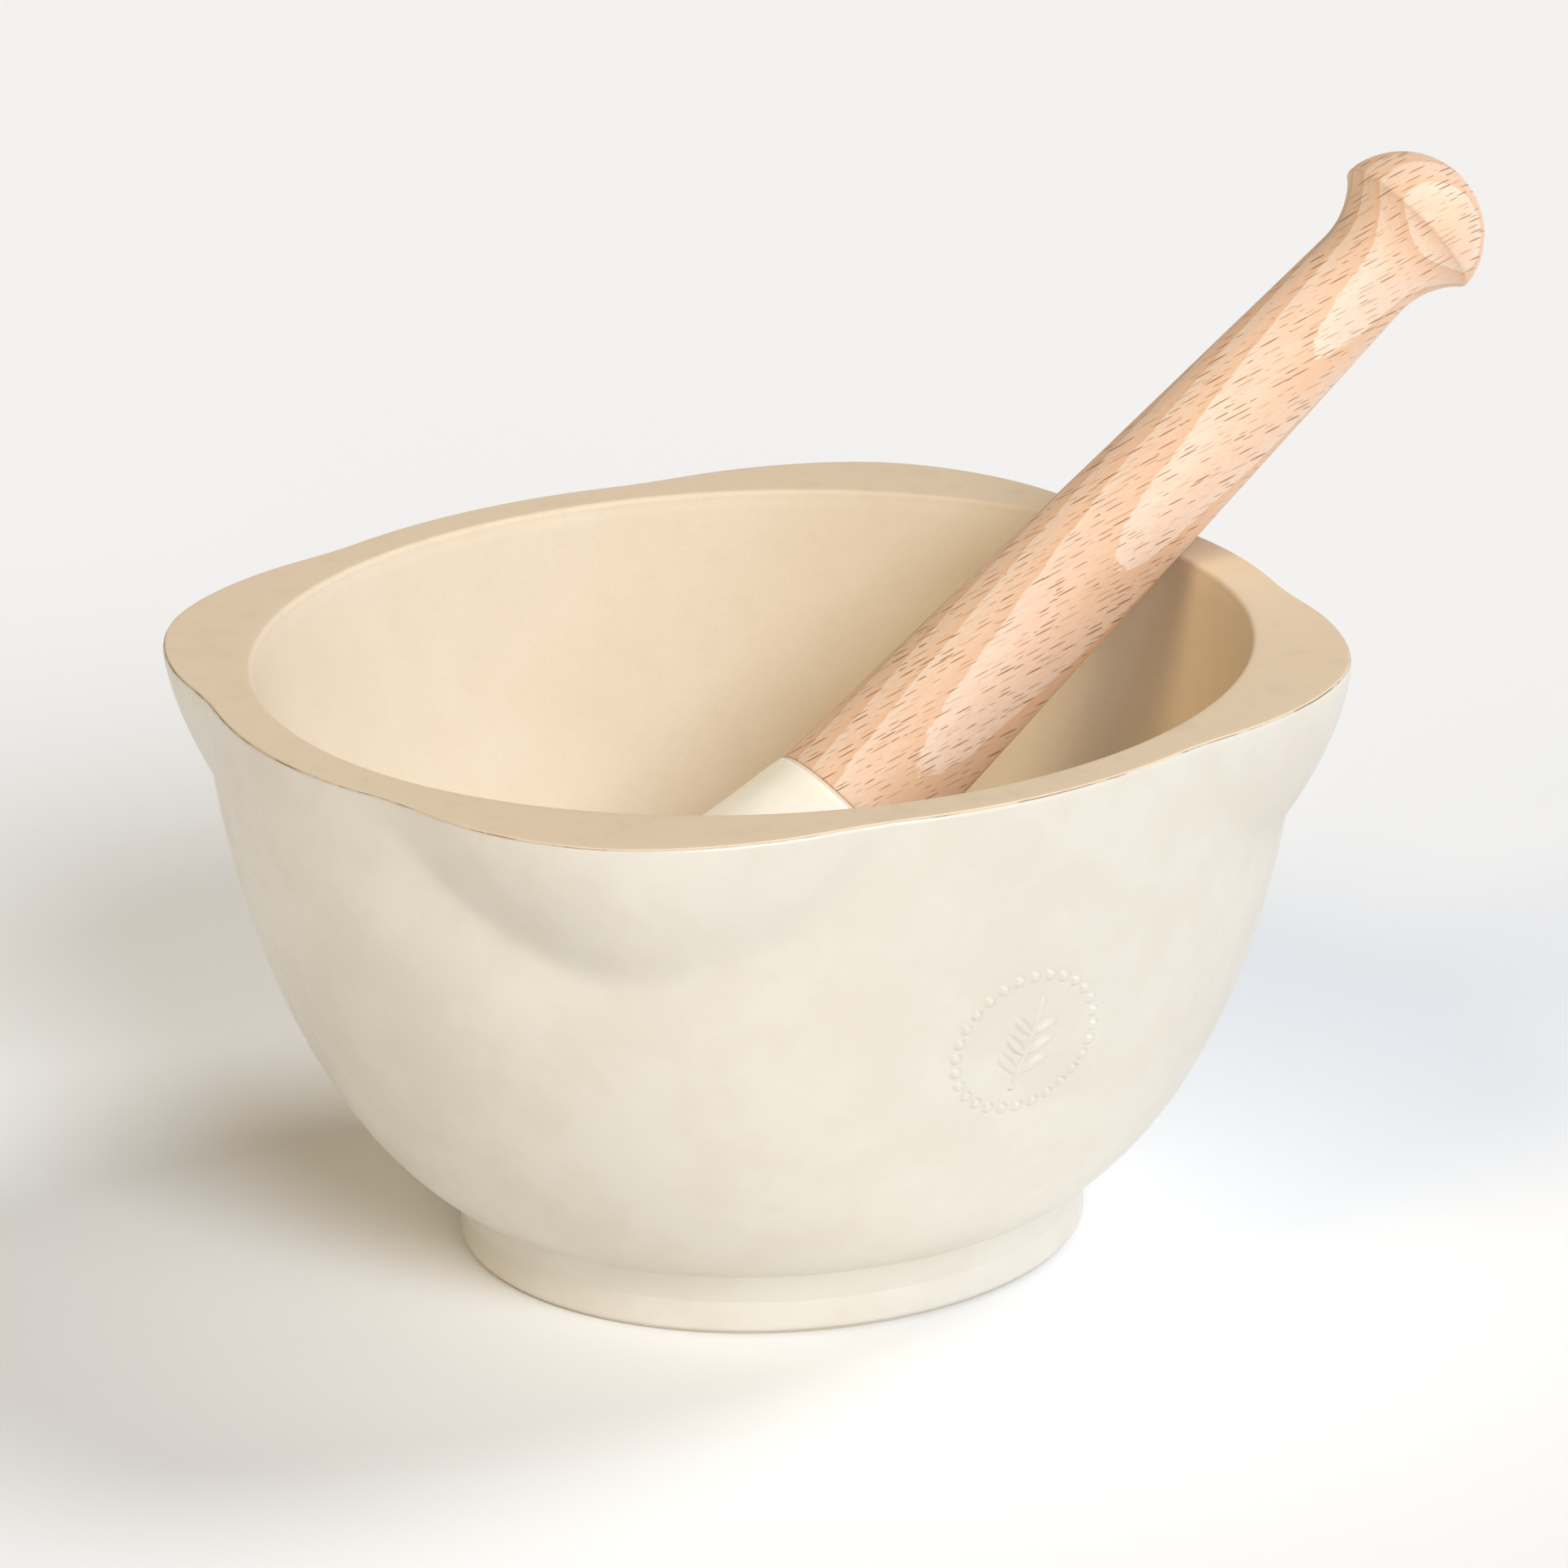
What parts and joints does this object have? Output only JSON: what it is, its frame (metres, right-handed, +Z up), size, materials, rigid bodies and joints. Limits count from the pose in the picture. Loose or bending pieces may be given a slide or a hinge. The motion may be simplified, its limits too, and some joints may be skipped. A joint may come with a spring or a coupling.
{
  "type": "mortar and pestle",
  "caption": "Footed ceramic mortar with blunt pouring lips, glazed outside and bare inside, with a loose pestle: ceramic head on a turned wooden handle.",
  "frame": {"origin": "centre of the foot ring's standing face, on the mortar's axis", "axes": "+Z up along the mortar's axis, out of its mouth; +X to the right and -Y to the front as pictured, so the handle leans towards +X and slightly +Y"},
  "size_m": [0.24, 0.2094, 0.1749],
  "materials": {
    "bare_stoneware": "unglazed, dry matt, warm tan",
    "cream_glaze": "satin cream glaze",
    "beech": "sanded steamed beech with dark flecks",
    "adhesive": "hardened amber adhesive"
  },
  "bodies": {
    "mortar": {"mortar_body": "bare_stoneware", "mortar_glaze": "cream_glaze"},
    "bond": {"tenon_bond": "adhesive"},
    "pestle": {"pestle_head": "bare_stoneware", "head_glaze": "cream_glaze", "pestle_handle": "beech"}
  },
  "joints": [
    {"name": "pestle_lift", "type": "slide", "parent": "mortar", "child": "bond", "axis": [0, 0, 1], "range_m": [0, 0.12]},
    {"name": "pestle_spin", "type": "hinge", "parent": "bond", "child": "pestle", "pos_m": [0.01485, 0.01311, 0.07193], "axis": [0.7147, 0.3657, 0.5962], "continuous": true}
  ]
}
